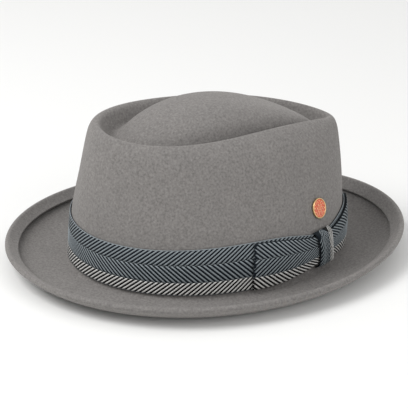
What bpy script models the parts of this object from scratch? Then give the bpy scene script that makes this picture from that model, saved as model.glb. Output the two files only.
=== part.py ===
"""Pork pie hat of grey wool felt, size 58, with a herringbone ribbon band, a flat side bow and a round pin.

Metres, +Z up. The hat rests on the flat inner part of its brim, at z = 0. Its front faces -Y and the
wearer's left, where the bow and the pin are, faces +X. Turns round the crown are counted from the front
towards the wearer's left.
"""

import math

import bmesh
import bpy
import numpy as np
from mathutils import Matrix

# Felt body
CROWN_LENGTH = 0.2070      # over the felt at the foot of the crown, front to rear
CROWN_WIDTH = 0.1712       # over the felt at the foot of the crown, side to side
RIM_HEIGHT = 0.1050        # table to the rim of the crown, at the sides
FELT = 0.0020              # wall of the felt
EGG_SHARE = 0.055          # how much wider the crown's foot is towards the front
BREAK_RADIUS = 0.0032      # hollow where the crown turns out into the brim

# Brim, from the foot of the crown to its outer edge
BRIM_FRONT = 0.0467
BRIM_SIDE = 0.0419
BRIM_REAR = 0.0466
EDGE_FRONT = 0.0138        # height of the folded edge at the front
EDGE_SIDE = 0.0132
EDGE_REAR = 0.0188
FLAT_SHARE = 0.28          # inner share of the brim that lies flat
CURL_POWER = 2.7           # how late the brim turns up: 2 is an even curl
WELT = 0.0063              # width of the edge that is folded over onto the brim
FOLD_GAP = 0.0004          # between the welt and the brim, at the fold
WELT_LIFT = 0.0006         # how much further the cut edge of the welt stands off

# Ribbon trim
BAND_WIDTH = 0.0327
BAND_SIDE_RISE = 0.0026    # how much higher the band's upper edge runs at the sides
BAND_MARGIN = 0.02         # share of that width left bare along each edge
LIFT_SHARE = 0.055         # how much higher the ribbons' upper edge rides in front of the bow
LIFT_TURN = 95.0           # degrees from the front to the middle of that rise
LIFT_SPREAD = 30.0         # how far the rise runs out each way, in degrees
RIBBON = 0.0010            # thickness of the band with its stitching turned under
TRIM_GAP = 0.0003          # between pieces that touch
BOW_LENGTH = 0.0650        # from the middle of the knot to the folded end of each loop
BOW_TURN = 127.7           # degrees from the front to the middle of the knot
BOW_THICKNESS = 0.0018     # the folded ribbon of the loops, two layers
BOW_PUFF = 0.0012          # how far the middle of each loop stands off
GATHER_REACH = 0.0300      # how far from the knot the band is drawn in
LOOP_REACH = 0.0400        # the same for the upper edge of the loops
GATHER_BAND = 0.215        # share of the band's width drawn in at the band's upper edge
GATHER_LOOPS = 0.240       # the same at the upper edge of the loops
GATHER_BELOW = 0.14        # the same at the lower edge of both
KNOT_WIDTH = 0.0190
KNOT_HEIGHT = 0.0272
KNOT_LEAN = 0.0046         # how much further to the rear its lower end lies than its upper end
KNOT_THICKNESS = 0.0016
KNOT_PUFF = 0.0022         # how far the crest of the knot stands off the loops
WAIST_SHARE = 0.12         # share of its width that the knot loses at its crest

# Pin
PIN_TURN = 126.2           # degrees from the front to the pin
PIN_RISE = 0.0122          # from the upper edge of the band to the middle of the pin
PIN_DIAMETER = 0.0148
PIN_THICKNESS = 0.0014
PIN_RIM = 0.0008           # width of the raised metal rim
ENAMEL_THICKNESS = 0.0005
POST_DIAMETER = 0.0012
POST_LENGTH = 0.0080       # from the back of the plate
CLUTCH_DIAMETER = 0.0090
CLUTCH_THICKNESS = 0.0030
CLUTCH_GAP = 0.0010        # from the inside of the felt, which is hollow here, to the clutch

# Faces round the oval and between two rows of the section table, and where the rings of the brim lie
SIDES = 44
STEPS = 2
BREAK_ANGLES = (30, 60, 90)
BRIM_SHARES = (0.18, FLAT_SHARE, 0.48, 0.64, 0.77, 0.89, 1.0)
FOLD_ANGLES = (60, 120)
WELT_SHARES = (0.0, 0.35, 0.70, 1.0)

# Rows from the middle of the crown's top to its foot. Front and rear are shares of half CROWN_LENGTH,
# side is a share of half CROWN_WIDTH, egg is how much wider the front is, and the heights are shares of
# the way from the foot to RIM_HEIGHT.
#   name            front  rear   side   egg    high_front  high_side  high_rear
CROWN_ROWS = (
    ("top",          0.030, 0.030, 0.030, 0.20,  1.150,      1.150,     1.150),
    ("upper dome",   0.235, 0.290, 0.155, 0.30,  1.118,      1.140,     1.108),
    ("dome",         0.420, 0.530, 0.280, 0.33,  1.060,      1.115,     1.026),
    ("dome edge",    0.560, 0.715, 0.366, 0.37,  0.975,      1.060,     0.928),
    ("dome foot",    0.640, 0.820, 0.412, 0.39,  0.912,      0.982,     0.855),
    ("valley",       0.695, 0.860, 0.444, 0.41,  0.890,      0.920,     0.832),
    ("inner wall",   0.735, 0.888, 0.477, 0.42,  0.945,      0.960,     0.858),
    ("lip",          0.768, 0.912, 0.512, 0.42,  1.015,      1.000,     0.896),
    ("rim",          0.808, 0.946, 0.556, 0.41,  1.026,      1.010,     0.905),
    ("round",        0.842, 0.978, 0.650, 0.33,  0.974,      0.960,     0.870),
    ("shoulder",     0.868, 0.993, 0.742, 0.23,  0.868,      0.864,     0.790),
    ("wall",         0.912, 1.003, 0.865, 0.12,  0.640,      0.640,     0.590),
)

# Rows over the knot, from above to below. Up is a share of half KNOT_HEIGHT, and off is a share of the
# way from the felt to the crest.
#   name            up     off
KNOT_ROWS = (
    ("tucked above", 1.00, 0.00),
    ("upper turn",   0.84, 0.74),
    ("upper face",   0.45, 0.93),
    ("crest",        0.00, 1.00),
    ("lower face",  -0.45, 0.93),
    ("lower turn",  -0.84, 0.74),
    ("tucked below", -1.00, 0.00),
)


def wave(turn, front, side, rear):
    """A size that runs smoothly from its front value through its side value to its rear value."""
    along = math.cos(turn)
    ends = front * (1 + along) / 2 + rear * (1 - along) / 2
    return side * math.sin(turn) ** 2 + ends * along ** 2


def oval(turn, front, rear, side, egg):
    """A point of an egg-shaped oval, in plan."""
    x = side * math.sin(turn) * (1 + egg * math.cos(turn))
    y = (rear - front) / 2 - (front + rear) / 2 * math.cos(turn)
    return x, y


def foot_point(turn):
    """A point of the felt's outer face at the foot of the crown, in plan."""
    return oval(turn, CROWN_LENGTH / 2, CROWN_LENGTH / 2, CROWN_WIDTH / 2, EGG_SHARE)


def foot_normal(turn):
    """The outward direction, in plan, at the foot of the crown."""
    before = foot_point(turn - 0.001)
    after = foot_point(turn + 0.001)
    dx, dy = after[0] - before[0], after[1] - before[1]
    length = math.hypot(dx, dy)
    return dy / length, -dx / length


def foot_height():
    """Height at which the crown's wall leaves the hollow of the break."""
    return FELT + BREAK_RADIUS


def band_rows():
    """The rows of the section table that the band covers: its upper edge and the crown's foot."""
    share = BAND_WIDTH / (RIM_HEIGHT - foot_height())
    side_share = (BAND_WIDTH + BAND_SIDE_RISE) / (RIM_HEIGHT - foot_height())
    return (
        ("band top", 0.972, 1.002, 0.992, EGG_SHARE, share, side_share, share),
        ("foot", 1.0, 1.0, 1.0, EGG_SHARE, 0.0, 0.0, 0.0),
    )


def smooth(values, place):
    """Value at a place between the rows, on a curve that passes through each row."""
    last = len(values) - 1
    row = min(int(place), last - 1)
    part = place - row
    here, there = values[row], values[row + 1]
    slope_here = (there - values[row - 1]) / 2 if row > 0 else there - here
    slope_there = (values[row + 2] - here) / 2 if row + 2 <= last else there - here
    return (
        here * (1 - part) ** 2 * (1 + 2 * part)
        + there * part ** 2 * (3 - 2 * part)
        + slope_here * part * (1 - part) ** 2
        - slope_there * part ** 2 * (1 - part)
    )


def crown_point(turn, place):
    """A point of the crown's outer face. Place counts rows of the section table, from the top down."""
    rows = CROWN_ROWS + band_rows()
    front, rear, side, egg, high_front, high_side, high_rear = (
        smooth([row[column] for row in rows], place) for column in range(1, 8)
    )
    half_length, half_width = CROWN_LENGTH / 2, CROWN_WIDTH / 2
    x, y = oval(turn, front * half_length, rear * half_length, side * half_width, egg)
    share = wave(turn, high_front, high_side, high_rear)
    return x, y, foot_height() + share * (RIM_HEIGHT - foot_height())


def brim_size(turn):
    """Width of the brim's top face up to the fold, and how far it rises."""
    rise = wave(turn, EDGE_FRONT, EDGE_SIDE, EDGE_REAR) - FELT
    width = wave(turn, BRIM_FRONT, BRIM_SIDE, BRIM_REAR)
    slope = CURL_POWER * rise / ((1 - FLAT_SHARE) * width)
    return width - (FELT + FOLD_GAP / 2) / math.hypot(1, slope), rise


def brim_section(turn, share):
    """Distance out from the foot, height, and the upward normal in the section, on the brim's top face."""
    width, rise = brim_size(turn)
    bent = max(0.0, (share - FLAT_SHARE) / (1 - FLAT_SHARE))
    slope = CURL_POWER * rise * bent ** (CURL_POWER - 1) / ((1 - FLAT_SHARE) * width)
    length = math.hypot(1, slope)
    return share * width, FELT + rise * bent ** CURL_POWER, (-slope / length, 1 / length)


def around(make_point):
    """One ring of points round the hat."""
    return [make_point(2 * math.pi * side / SIDES) for side in range(SIDES)]


def outward(turn, out, height):
    """A point at a distance out from the foot of the crown."""
    x, y = foot_point(turn)
    nx, ny = foot_normal(turn)
    return x + nx * out, y + ny * out, height


def break_ring(angle):
    out = BREAK_RADIUS * (1 - math.cos(angle))
    height = FELT + BREAK_RADIUS * (1 - math.sin(angle))
    return around(lambda turn: outward(turn, out, height))


def brim_ring(share):
    def point(turn):
        out, height, _ = brim_section(turn, share)
        return outward(turn, out, height)

    return around(point)


def fold_ring(angle):
    """The tight inner bend between the brim and the welt."""

    def point(turn):
        out, height, (nx, nz) = brim_section(turn, 1.0)
        up = FOLD_GAP / 2 * (1 - math.cos(angle))
        along = FOLD_GAP / 2 * math.sin(angle)
        return outward(turn, out + nx * up + nz * along, height + nz * up - nx * along)

    return around(point)


def welt_ring(part):
    """The underside of the welt, from the fold to its cut edge."""

    def point(turn):
        width, _ = brim_size(turn)
        out, height, (nx, nz) = brim_section(turn, 1 - part * WELT / width)
        gap = FOLD_GAP + WELT_LIFT * part
        return outward(turn, out + nx * gap, height + nz * gap)

    return around(point)


def felt_rings():
    """Rings down the outer face of the crown, over the brim and back under the welt."""
    last_row = len(CROWN_ROWS) + len(band_rows()) - 1
    rings = [around(lambda turn, p=step / STEPS: crown_point(turn, p)) for step in range(last_row * STEPS + 1)]
    rings += [break_ring(math.radians(angle)) for angle in BREAK_ANGLES]
    rings += [brim_ring(share) for share in BRIM_SHARES]
    rings += [fold_ring(math.radians(angle)) for angle in FOLD_ANGLES]
    rings += [welt_ring(part) for part in WELT_SHARES]
    return rings


def new_object(name, mesh_data, colour, roughness, metallic=0.0):
    """An object in the hat's collection with a material of its own."""
    piece = bpy.data.objects.new(name, mesh_data)
    hat.objects.link(piece)
    material = bpy.data.materials.new(name)
    material.use_nodes = True
    shader = material.node_tree.nodes["Principled BSDF"]
    shader.inputs["Base Color"].default_value = (*colour, 1.0)
    shader.inputs["Roughness"].default_value = roughness
    shader.inputs["Metallic"].default_value = metallic
    material.diffuse_color = (*colour, 1.0)
    mesh_data.materials.append(material)
    mesh_data.shade_smooth()
    mesh_data.set_sharp_from_angle(angle=math.radians(40))
    return piece


def grid_mesh(name, rows, closed, capped=False):
    """A mesh through rows of points. Closed rows are rings, and a capped one has its first ring filled."""
    body = bmesh.new()
    points = [[body.verts.new(point) for point in row] for row in rows]
    for upper, lower in zip(points, points[1:]):
        count = len(upper)
        for here in range(count if closed else count - 1):
            there = (here + 1) % count
            body.faces.new((upper[here], lower[here], lower[there], upper[there]))
    if capped:
        body.faces.new(points[0])
        body.faces.ensure_lookup_table()
        bmesh.ops.poke(body, faces=[body.faces[-1]])
    mesh = bpy.data.meshes.new(name)
    body.to_mesh(mesh)
    body.free()
    return mesh


def give_wall(piece, thickness):
    """A wall behind the open surface, on the side away from its normals."""
    wall = piece.modifiers.new("Wall", "SOLIDIFY")
    wall.thickness = thickness
    wall.offset = -1.0
    wall.use_even_offset = True
    wall.use_quality_normals = True


def trim_point(turn, up, out):
    """A point on the band's stretch of the wall: up is its share of the band's width from the foot, and
    out is its distance from the felt."""
    last_row = len(CROWN_ROWS) + len(band_rows()) - 1
    x, y, z = crown_point(turn, last_row - up)
    nx, ny = foot_normal(turn)
    return x + nx * out, y + ny * out, z


def turn_after(turn, distance):
    """The turn reached by walking a distance along the foot of the crown, a little at a time."""
    steps = 40
    for _ in range(steps):
        here, ahead = foot_point(turn), foot_point(turn + 0.001)
        speed = math.dist(here, ahead) / 0.001
        turn += distance / steps / speed
    return turn


def make_felt_body():
    """Crown, brim and folded welt: one piece of felt."""
    mesh = grid_mesh("felt_body", felt_rings(), closed=True, capped=True)
    felt = new_object("felt_body", mesh, (0.23, 0.22, 0.21), 0.95)
    give_wall(felt, FELT)
    hole = round_bar("pin_hole", POST_DIAMETER / 2 + TRIM_GAP, 4 * FELT, -2 * FELT, 12, cutters)
    stand_on_wall(hole)
    hole.hide_render = True
    hole.display_type = "WIRE"
    cut = felt.modifiers.new("Pin hole", "BOOLEAN")
    cut.object = hole
    cut.operation = "DIFFERENCE"
    cut.solver = "EXACT"


def ribbon_edges(turn, gather, reach):
    """Shares of the band's width at the lower and upper edge of a ribbon that the knot draws in."""
    distance = (turn - math.radians(BOW_TURN)) * CROWN_LENGTH / 2
    low = BAND_MARGIN + GATHER_BELOW * math.exp(-((distance / GATHER_REACH) ** 2))
    lift = LIFT_SHARE * math.exp(-(((math.degrees(turn) - LIFT_TURN) / LIFT_SPREAD) ** 2))
    return low, 1 - BAND_MARGIN + lift - gather * math.exp(-((distance / reach) ** 2))


def make_hat_band():
    """A ribbon drawn round the foot of the crown."""
    outer = TRIM_GAP + RIBBON

    def band_point(turn, level):
        low, high = ribbon_edges(turn, GATHER_BAND, GATHER_REACH)
        return trim_point(turn, low + (high - low) * level, outer)

    rows = [around(lambda turn, v=level: band_point(turn, v)) for level in (1.0, 0.5, 0.0)]
    band = new_object("hat_band", grid_mesh("hat_band", rows, closed=True), (0.10, 0.14, 0.18), 0.7)
    give_wall(band, RIBBON)


def make_bow_loops():
    """Two flat loops of one ribbon, as high as the band at their folded ends and gathered at the knot."""
    base = 2 * TRIM_GAP + RIBBON + BOW_THICKNESS
    knot = math.radians(BOW_TURN)
    rows = []
    for level in (1.0, 0.75, 0.5, 0.25, 0.0):
        row = []
        for part in np.linspace(-1, 1, 17):
            turn = turn_after(knot, part * BOW_LENGTH)
            low, high = ribbon_edges(turn, GATHER_LOOPS, LOOP_REACH)
            puff = BOW_PUFF * math.sin(math.pi * abs(part)) * (1 - (2 * level - 1) ** 2)
            row.append(trim_point(turn, low + (high - low) * level, base + puff))
        rows.append(row)
    loops = new_object("bow_loops", grid_mesh("bow_loops", rows, closed=False), (0.10, 0.14, 0.18), 0.7)
    give_wall(loops, BOW_THICKNESS)


def make_bow_knot():
    """The short ribbon that is drawn tight over the middle of the bow and tucked in above and below."""
    on_felt = TRIM_GAP + KNOT_THICKNESS
    crest = 3 * TRIM_GAP + RIBBON + BOW_THICKNESS + KNOT_THICKNESS + KNOT_PUFF
    knot = math.radians(BOW_TURN)
    low, high = ribbon_edges(knot, GATHER_LOOPS, LOOP_REACH)
    rows = []
    for _, up_share, off_share in KNOT_ROWS:
        row = []
        for part in np.linspace(-1, 1, 7):
            half_width = KNOT_WIDTH / 2 * (1 - WAIST_SHARE * (1 - up_share ** 2))
            turn = turn_after(knot, part * half_width - up_share * KNOT_LEAN / 2)
            up = (low + high) / 2 + up_share * KNOT_HEIGHT / BAND_WIDTH / 2
            rounding = KNOT_PUFF / 2 * part ** 2 * (1 - up_share ** 2)
            row.append(trim_point(turn, up, on_felt + (crest - on_felt) * off_share - rounding))
        rows.append(row)
    wrap = new_object("bow_knot", grid_mesh("bow_knot", rows, closed=False), (0.12, 0.16, 0.20), 0.7)
    give_wall(wrap, KNOT_THICKNESS)


def wall_frame():
    """Place, and outward and upward directions, where the pin stands on the crown's wall."""
    turn = math.radians(PIN_TURN)
    height = foot_height() + BAND_WIDTH + PIN_RISE
    low, high = len(CROWN_ROWS) + len(band_rows()) - 1.0, len(CROWN_ROWS) - 3.0
    for _ in range(40):
        middle = (low + high) / 2
        if crown_point(turn, middle)[2] < height:
            low = middle
        else:
            high = middle
    centre = np.array(crown_point(turn, low))
    up = np.array(crown_point(turn, low - 0.05)) - np.array(crown_point(turn, low + 0.05))
    along = np.array(crown_point(turn + 0.01, low)) - np.array(crown_point(turn - 0.01, low))
    outward_way = np.cross(along, up)
    outward_way /= np.linalg.norm(outward_way)
    up /= np.linalg.norm(up)
    return centre, outward_way, up


def round_bar(name, radius, length, start, sides, collection):
    """A round bar along its own Z axis, from start to start + length."""
    body = bmesh.new()
    bmesh.ops.create_cone(
        body, cap_ends=True, segments=sides, radius1=radius, radius2=radius, depth=length
    )
    bmesh.ops.translate(body, verts=body.verts, vec=(0, 0, start + length / 2))
    mesh = bpy.data.meshes.new(name)
    body.to_mesh(mesh)
    body.free()
    bar = bpy.data.objects.new(name, mesh)
    collection.objects.link(bar)
    return bar


def stand_on_wall(piece):
    """Turns a piece so that its Z axis leaves the crown's wall where the pin stands."""
    centre, outward_way, up = wall_frame()
    across = np.cross(up, outward_way)
    turned = Matrix((across, up, outward_way)).transposed().to_4x4()
    turned.translation = centre
    piece.matrix_world = turned


def turned_object(name, profile, sides, colour, roughness, metallic):
    """A turned piece from a profile of (radius, height) pairs that starts and ends on the axis."""
    body = bmesh.new()
    points = [body.verts.new((radius, 0, height)) for radius, height in profile]
    for here, there in zip(points, points[1:]):
        body.edges.new((here, there))
    mesh = bpy.data.meshes.new(name)
    body.to_mesh(mesh)
    body.free()
    piece = new_object(name, mesh, colour, roughness, metallic)
    turn = piece.modifiers.new("Turn", "SCREW")
    turn.steps = turn.render_steps = sides
    turn.use_merge_vertices = True
    turn.merge_threshold = 0.00001
    stand_on_wall(piece)
    return piece


def make_pin():
    """A round badge with a raised rim, its soldered post through the felt, and a plain clutch inside."""
    back = TRIM_GAP
    front = back + PIN_THICKNESS
    recess = front - 2 * ENAMEL_THICKNESS
    radius = PIN_DIAMETER / 2
    inner = radius - PIN_RIM
    post = POST_DIAMETER / 2
    plate = (
        (0, recess), (inner, recess), (inner, front), (radius, front),
        (radius, back), (post, back), (post, back - POST_LENGTH), (0, back - POST_LENGTH),
    )
    turned_object("pin_plate", plate, 24, (0.75, 0.45, 0.22), 0.3, 1.0)
    low = recess + TRIM_GAP
    top = low + ENAMEL_THICKNESS
    enamel_radius = inner - TRIM_GAP
    enamel = ((0, top + TRIM_GAP / 2), (enamel_radius, top), (enamel_radius, low), (0, low))
    turned_object("pin_enamel", enamel, 24, (0.75, 0.16, 0.05), 0.3, 0.0)
    near = -FELT - CLUTCH_GAP
    far = near - CLUTCH_THICKNESS
    bore = post + TRIM_GAP
    clutch = (
        (bore, near), (CLUTCH_DIAMETER / 2, near), (CLUTCH_DIAMETER / 2, far), (bore, far), (bore, near),
    )
    turned_object("pin_clutch", clutch, 12, (0.55, 0.55, 0.53), 0.35, 1.0)


for leftover in list(bpy.data.objects):
    bpy.data.objects.remove(leftover)
hat = bpy.data.collections.new("pork_pie_hat")
cutters = bpy.data.collections.new("cutters")
bpy.context.scene.collection.children.link(hat)
bpy.context.scene.collection.children.link(cutters)

make_felt_body()
make_hat_band()
make_bow_loops()
make_bow_knot()
make_pin()
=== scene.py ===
"""Pork pie hat: the visual model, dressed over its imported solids. Metres, +Z up, front at -Y."""

import math

import bpy
import numpy as np
from mathutils import Matrix, Vector


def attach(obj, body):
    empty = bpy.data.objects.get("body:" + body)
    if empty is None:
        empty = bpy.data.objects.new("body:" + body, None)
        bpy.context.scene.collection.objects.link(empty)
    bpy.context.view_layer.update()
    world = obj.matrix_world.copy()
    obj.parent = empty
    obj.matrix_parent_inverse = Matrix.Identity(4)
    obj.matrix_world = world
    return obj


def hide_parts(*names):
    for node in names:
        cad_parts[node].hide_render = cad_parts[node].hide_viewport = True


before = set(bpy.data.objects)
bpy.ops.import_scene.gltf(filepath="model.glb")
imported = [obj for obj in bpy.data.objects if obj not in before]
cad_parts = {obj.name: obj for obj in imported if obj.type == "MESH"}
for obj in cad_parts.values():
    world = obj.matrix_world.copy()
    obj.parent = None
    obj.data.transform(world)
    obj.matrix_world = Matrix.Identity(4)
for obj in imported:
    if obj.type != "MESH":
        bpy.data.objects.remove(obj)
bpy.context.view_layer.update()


# Felt body. One hood of wool felt, steamed and blocked into a flat-topped crown with a raised teardrop
# dome and a brim that turns up all round. The brim's edge is folded over onto its top side and left raw.

CROWN_LENGTH = 0.2070
CROWN_WIDTH = 0.1712
RIM_HEIGHT = 0.1050
FELT = 0.0020
EGG_SHARE = 0.055
BREAK_RADIUS = 0.0032
FOOT_HEIGHT = FELT + BREAK_RADIUS
BAND_WIDTH = 0.0327
BAND_SIDE_RISE = 0.0026
BAND_SHARE = BAND_WIDTH / (RIM_HEIGHT - FOOT_HEIGHT)
BAND_SIDE_SHARE = (BAND_WIDTH + BAND_SIDE_RISE) / (RIM_HEIGHT - FOOT_HEIGHT)
BRIM = (0.0467, 0.0419, 0.0466)          # width at the front, side and rear
EDGE = (0.0138, 0.0132, 0.0188)          # height of the edge at the front, side and rear
FLAT_SHARE = 0.28
CURL_POWER = 2.7
WELT = 0.0063
FOLD_GAP = 0.0004
WELT_LIFT = 0.0006
FELT_SIDES = 240
FELT_STEPS = 8                           # rings between two rows of the section table
FELT_WAVER = 0.00018                     # how far the blocked felt strays from a true surface

# Shares of half the crown's length at the front and rear and of half its width, how much wider the front
# is, and the heights at the front, side and rear as shares of the way from the crown's foot to its rim
SECTION_ROWS = np.array((
    (0.030, 0.030, 0.030, 0.20, 1.150, 1.150, 1.150),      # top
    (0.235, 0.290, 0.155, 0.30, 1.118, 1.140, 1.108),      # upper dome
    (0.420, 0.530, 0.280, 0.33, 1.060, 1.115, 1.026),      # dome
    (0.560, 0.715, 0.366, 0.37, 0.975, 1.060, 0.928),      # dome edge
    (0.640, 0.820, 0.412, 0.39, 0.912, 0.982, 0.855),      # dome foot
    (0.695, 0.860, 0.444, 0.41, 0.890, 0.920, 0.832),      # valley
    (0.735, 0.888, 0.477, 0.42, 0.945, 0.960, 0.858),      # inner wall
    (0.768, 0.912, 0.512, 0.42, 1.015, 1.000, 0.896),      # lip
    (0.808, 0.946, 0.556, 0.41, 1.026, 1.010, 0.905),      # rim
    (0.842, 0.978, 0.650, 0.33, 0.974, 0.960, 0.870),      # round
    (0.868, 0.993, 0.742, 0.23, 0.868, 0.864, 0.790),      # shoulder
    (0.912, 1.003, 0.865, 0.12, 0.640, 0.640, 0.590),      # wall
    (0.972, 1.002, 0.992, EGG_SHARE, BAND_SHARE, BAND_SIDE_SHARE, BAND_SHARE),
    (1.000, 1.000, 1.000, EGG_SHARE, 0.0, 0.0, 0.0),             # foot
))
LAST_ROW = len(SECTION_ROWS) - 1


def wave(turn, front, side, rear):
    """A size that runs smoothly from its front value through its side value to its rear value."""
    along = np.cos(turn)
    ends = front * (1 + along) / 2 + rear * (1 - along) / 2
    return side * np.sin(turn) ** 2 + ends * along ** 2


def oval(turn, front, rear, side, egg):
    """An egg-shaped oval, in plan."""
    x = side * np.sin(turn) * (1 + egg * np.cos(turn))
    y = (rear - front) / 2 - (front + rear) / 2 * np.cos(turn)
    return x, y


def section_at(place):
    """The section table's values at places between its rows, on a curve through each row."""
    slopes = np.gradient(SECTION_ROWS, axis=0)
    row = np.clip(place.astype(int), 0, LAST_ROW - 1)
    part = (place - row)[..., None]
    here, there = SECTION_ROWS[row], SECTION_ROWS[row + 1]
    value = here * (1 - part) ** 2 * (1 + 2 * part) + there * part ** 2 * (3 - 2 * part)
    value = value + slopes[row] * part * (1 - part) ** 2 - slopes[row + 1] * part ** 2 * (1 - part)
    return np.moveaxis(value, -1, 0)


def crown_points(turn, place):
    """Points of the crown's outer face. Place counts rows of the section table, from the top down."""
    turn, place = np.broadcast_arrays(np.asarray(turn, float), np.asarray(place, float))
    front, rear, side, egg, high_front, high_side, high_rear = section_at(place)
    half_length, half_width = CROWN_LENGTH / 2, CROWN_WIDTH / 2
    x, y = oval(turn, front * half_length, rear * half_length, side * half_width, egg)
    z = FOOT_HEIGHT + wave(turn, high_front, high_side, high_rear) * (RIM_HEIGHT - FOOT_HEIGHT)
    return np.stack((x, y, z), -1)


def foot_points(turn):
    """The foot of the crown's outer face, in plan, and the outward direction there."""
    nudge = 0.001
    half_length, half_width = CROWN_LENGTH / 2, CROWN_WIDTH / 2
    place = np.stack(oval(turn, half_length, half_length, half_width, EGG_SHARE), -1)
    ahead = np.stack(oval(turn + nudge, half_length, half_length, half_width, EGG_SHARE), -1)
    behind = np.stack(oval(turn - nudge, half_length, half_length, half_width, EGG_SHARE), -1)
    way = ahead - behind
    way = way / np.linalg.norm(way, axis=-1, keepdims=True)
    return place, np.stack((way[..., 1], -way[..., 0]), -1)


def out_from_foot(turn, out, height):
    place, outward = foot_points(turn)
    plan = place + outward * np.asarray(out)[..., None]
    return np.concatenate((plan, np.broadcast_to(height, turn.shape)[..., None]), -1)


def brim_size(turn):
    """Width of the brim's top face up to the fold, and how far it rises."""
    rise = wave(turn, *EDGE) - FELT
    width = wave(turn, *BRIM)
    slope = CURL_POWER * rise / ((1 - FLAT_SHARE) * width)
    return width - (FELT + FOLD_GAP / 2) / np.hypot(1, slope), rise


def brim_section(turn, share):
    """Distance out from the foot, height, and the upward normal's two parts, on the brim's top face."""
    width, rise = brim_size(turn)
    bent = np.maximum(0.0, (share - FLAT_SHARE) / (1 - FLAT_SHARE))
    slope = CURL_POWER * rise * bent ** (CURL_POWER - 1) / ((1 - FLAT_SHARE) * width)
    length = np.hypot(1, slope)
    return share * width, FELT + rise * bent ** CURL_POWER, -slope / length, 1 / length


def felt_rings():
    """Rings from the top of the dome down the crown, out over the brim and back under the welt."""
    turn = np.linspace(0, 2 * math.pi, FELT_SIDES, endpoint=False)
    rings = [crown_points(turn, place) for place in np.arange(LAST_ROW * FELT_STEPS + 1) / FELT_STEPS]
    for angle in np.radians(np.linspace(15, 90, 6)):
        out = BREAK_RADIUS * (1 - math.cos(angle))
        height = FELT + BREAK_RADIUS * (1 - math.sin(angle))
        rings.append(out_from_foot(turn, np.full_like(turn, out), height))
    for share in np.linspace(0.12, 1.0, 30):
        out, height, _, _ = brim_section(turn, share)
        rings.append(out_from_foot(turn, out, height))
    out, height, lean, rise = brim_section(turn, 1.0)
    for angle in np.radians(np.linspace(20, 160, 8)):
        up = FOLD_GAP / 2 * (1 - math.cos(angle))
        along = FOLD_GAP / 2 * math.sin(angle)
        further = out + lean * up + rise * along
        rings.append(out_from_foot(turn, further, height + rise * up - lean * along))
    width, _ = brim_size(turn)
    for part in np.linspace(0, 1, 10):
        out, height, lean, rise = brim_section(turn, 1 - part * WELT / width)
        gap = FOLD_GAP + WELT_LIFT * part
        rings.append(out_from_foot(turn, out + lean * gap, height + rise * gap))
    return np.array(rings)


def grid_faces(rows, columns, closed):
    """Four-sided faces of a grid, and for each corner its row and its column before any wrap."""
    row = np.arange(rows - 1)[:, None]
    column = np.arange(columns if closed else columns - 1)[None, :]
    row, column = (a.ravel() for a in np.broadcast_arrays(row, column))
    corner_rows = np.stack((row, row + 1, row + 1, row), -1)
    corner_columns = np.stack((column, column, column + 1, column + 1), -1)
    return corner_rows * columns + corner_columns % columns, corner_rows, corner_columns


def solid_mesh(name, points, faces, uv=None):
    """A smooth mesh, with a UV map where a pattern follows the surface."""
    mesh = bpy.data.meshes.new(name)
    mesh.from_pydata(np.asarray(points).reshape(-1, 3).tolist(), [], [list(face) for face in faces])
    if uv is not None:
        layer = mesh.uv_layers.new(name="ribbon")
        layer.data.foreach_set("uv", np.asarray(uv, np.float32).ravel())
    mesh.shade_smooth()
    return mesh


def add_piece(name, mesh, material, stands_for=()):
    """An object that rides on the hat, takes its finish from a slot and may stand for CAD nodes."""
    piece = bpy.data.objects.new(name, mesh)
    bpy.context.scene.collection.objects.link(piece)
    if not mesh.materials:
        mesh.materials.append(material)
    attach(piece, "root")
    if stands_for:
        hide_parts(*stands_for)
    return piece


def give_wall(piece, thickness, offset=-1.0):
    """A wall behind an open surface."""
    wall = piece.modifiers.new("Wall", "SOLIDIFY")
    wall.thickness = thickness
    wall.offset = offset
    wall.use_even_offset = True
    wall.use_quality_normals = True


def new_material(name, colour, roughness, metallic=0.0):
    """A material with its Principled shader, and a function that adds nodes to it."""
    material = bpy.data.materials.new(name)
    material.use_nodes = True
    tree = material.node_tree
    shader = tree.nodes["Principled BSDF"]
    shader.inputs["Base Color"].default_value = (*colour, 1.0)
    shader.inputs["Roughness"].default_value = roughness
    shader.inputs["Metallic"].default_value = metallic

    def add(kind, **settings):
        node = tree.nodes.new(kind)
        for key, value in settings.items():
            if hasattr(node, key):
                setattr(node, key, value)
            else:
                node.inputs[key.replace("_", " ")].default_value = value
        return node

    return material, shader, add, tree.links.new


def shade_by(add, link, factor, dark, light):
    """A colour that runs from dark to light with a factor."""
    mix = add("ShaderNodeMix", data_type="RGBA")
    mix.inputs["A"].default_value = (*dark, 1.0)
    mix.inputs["B"].default_value = (*light, 1.0)
    link(factor, mix.inputs["Factor"])
    return mix.outputs["Result"]


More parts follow.
